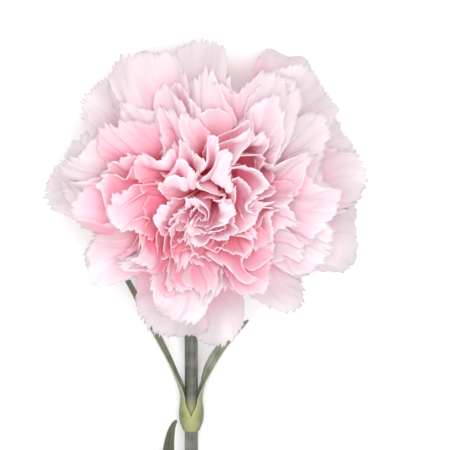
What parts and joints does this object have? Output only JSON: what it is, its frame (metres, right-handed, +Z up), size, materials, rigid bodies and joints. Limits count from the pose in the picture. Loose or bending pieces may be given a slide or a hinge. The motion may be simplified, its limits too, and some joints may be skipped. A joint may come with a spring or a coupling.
{
  "type": "cut carnation",
  "caption": "Pale pink cut carnation lying down: ruffled saw-edged bloom facing up, toothed calyx, short jointed stem with narrow clasping leaves.",
  "frame": {"origin": "middle of the footprint, on the surface that the flower lies on", "axes": "+Z up, +Y from the cut end of the stem to the bloom, +X to the right as seen from above with the bloom on top"},
  "size_m": [0.0756, 0.188, 0.0516],
  "materials": {
    "petals": "soft satin, deep pink in the folds and almost white at the rims",
    "calyx": "smooth waxy green",
    "stem": "waxy grey green, yellow green at the joints",
    "leaves": "waxy grey green"
  },
  "bodies": {
    "root": {"bloom": "petals", "calyx": "calyx", "stem": "stem", "leaf_upper_left": "leaves", "leaf_upper_right": "leaves", "leaf_lower_left": "leaves", "leaf_lower_right": "leaves"}
  },
  "joints": []
}
